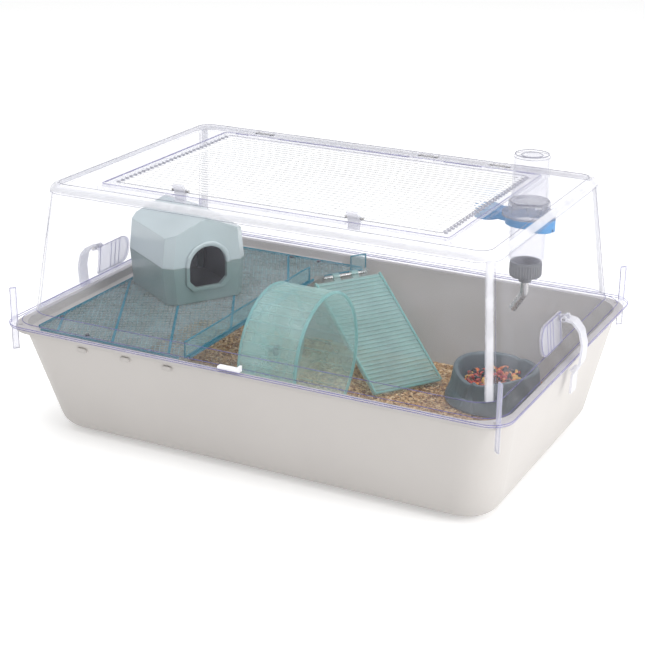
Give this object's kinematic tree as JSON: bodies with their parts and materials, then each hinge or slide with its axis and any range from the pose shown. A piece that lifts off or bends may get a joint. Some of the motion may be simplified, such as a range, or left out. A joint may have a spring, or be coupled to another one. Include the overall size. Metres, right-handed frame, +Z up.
{
  "type": "hamster cage",
  "caption": "Moulded tub under a clear dome with a hinged wire-grid lid, shelf, ramp, running wheel, two-part house, food bowl and drinking bottle.",
  "frame": {"origin": "on the ground under the centre of the cage", "axes": "+X along the long side to the end with the bottle, +Y to the back where the lid is hinged, +Z up"},
  "size_m": [0.5682, 0.39, 0.319],
  "materials": {
    "tub_plastic": "warm light grey moulded polypropylene, fine satin",
    "bedding": "loose pale granules",
    "clear_plastic": "clear polystyrene with lavender edges",
    "clip_plastic": "milky clear plastic",
    "white_wire": "white coated wire",
    "steel": "plain steel",
    "teal_shelf": "translucent teal plastic with embossed lattice",
    "teal_edge": "translucent teal plastic seen on edge",
    "aqua_wheel": "translucent aqua plastic",
    "house_light": "pale grey-green moulded plastic",
    "house_dark": "grey-green moulded plastic",
    "bowl_plastic": "slate grey plastic",
    "food": "mixed dry food, seeds and pellets",
    "bottle_clear": "clear plastic",
    "cap_grey": "dark grey plastic",
    "sleeve_grey": "light grey translucent plastic",
    "blue": "bright blue plastic",
    "seal": "soft black rubber"
  },
  "bodies": {
    "tub": {"tub": "tub_plastic", "bedding": "bedding", "shelf_plate": "teal_shelf", "shelf_rail_side": "teal_edge", "shelf_rail_back": "teal_edge", "shelf_pegs": "cap_grey", "ramp_rod": "steel"},
    "dome": {"dome_flange": "clear_plastic", "dome_walls": "clear_plastic", "dome_roof": "clear_plastic", "corner_legs": "clear_plastic", "front_catch": "clip_plastic", "lid_hinge_pins": "steel", "clip_plate_left": "clip_plastic", "clip_plate_right": "clip_plastic", "bottle_sleeve": "sleeve_grey", "bottle_collar": "blue"},
    "lid": {"lid_frame": "clear_plastic", "lid_grid": "white_wire", "lid_latch_pins": "steel"},
    "latch_left": {"lid_latch_left": "clip_plastic"},
    "latch_right": {"lid_latch_right": "clip_plastic"},
    "clip_left": {"clip_lever_left": "clip_plastic", "clip_pin_left": "steel"},
    "clip_right": {"clip_lever_right": "clip_plastic", "clip_pin_right": "steel"},
    "ramp": {"ramp": "aqua_wheel"},
    "wheel_stand": {"wheel_stand": "aqua_wheel", "wheel_axle": "steel", "axle_cap": "cap_grey"},
    "wheel": {"wheel_drum": "aqua_wheel", "wheel_hub": "aqua_wheel"},
    "house": {"house_base": "house_dark"},
    "house_roof": {"house_roof": "house_light"},
    "bowl": {"food_bowl": "bowl_plastic", "food": "food"},
    "bottle": {"bottle_body": "bottle_clear", "bottle_cap": "cap_grey", "cap_seal": "seal", "spout_tube": "steel"},
    "ball": {"spout_ball": "steel"}
  },
  "joints": [
    {"name": "dome_lift", "type": "slide", "parent": "tub", "child": "dome", "axis": [0, 0, 1], "range_m": [0, 0.25]},
    {"name": "lid_hinge", "type": "hinge", "parent": "dome", "child": "lid", "pos_m": [0, 0.1272, 0.2724], "axis": [-1, 0, 0], "range_deg": [0, 110]},
    {"name": "latch_left_snap", "type": "hinge", "parent": "lid", "child": "latch_left", "pos_m": [-0.102, -0.1185, 0.2726], "axis": [1, 0, 0], "range_deg": [-8, 20]},
    {"name": "latch_right_snap", "type": "hinge", "parent": "lid", "child": "latch_right", "pos_m": [0.088, -0.1185, 0.2726], "axis": [1, 0, 0], "range_deg": [-8, 20]},
    {"name": "clip_right_swing", "type": "hinge", "parent": "dome", "child": "clip_right", "pos_m": [0.2625, -0.0035, 0.167], "axis": [0, -1, 0], "range_deg": [-4, 75]},
    {"name": "clip_left_swing", "type": "hinge", "parent": "dome", "child": "clip_left", "pos_m": [-0.2625, -0.0365, 0.167], "axis": [0, 1, 0], "range_deg": [-4, 75]},
    {"name": "ramp_tilt", "type": "hinge", "parent": "tub", "child": "ramp", "pos_m": [-0.045, 0.137, 0.118], "axis": [-0.5592, -0.829, 0], "range_deg": [0, 45]},
    {"name": "wheel_lift", "type": "slide", "parent": "tub", "child": "wheel_stand", "axis": [0, 0, 1], "range_m": [0, 0.06]},
    {"name": "wheel_spin", "type": "hinge", "parent": "wheel_stand", "child": "wheel", "pos_m": [0, -0.073, 0.104], "axis": [1, 0, 0], "continuous": true},
    {"name": "house_lift", "type": "slide", "parent": "tub", "child": "house", "axis": [0, 0, 1], "range_m": [0, 0.03]},
    {"name": "house_roof_lift", "type": "slide", "parent": "house", "child": "house_roof", "axis": [0, 0, 1], "range_m": [0, 0.03]},
    {"name": "bowl_lift", "type": "slide", "parent": "tub", "child": "bowl", "axis": [0, 0, 1], "range_m": [0, 0.1]},
    {"name": "bottle_slide", "type": "slide", "parent": "dome", "child": "bottle", "axis": [0, 0, 1], "range_m": [0, 0.16]},
    {"name": "ball_valve", "type": "slide", "parent": "bottle", "child": "ball", "axis": [0.5384, 0, 0.8427], "range_m": [0, 0.0015]}
  ]
}
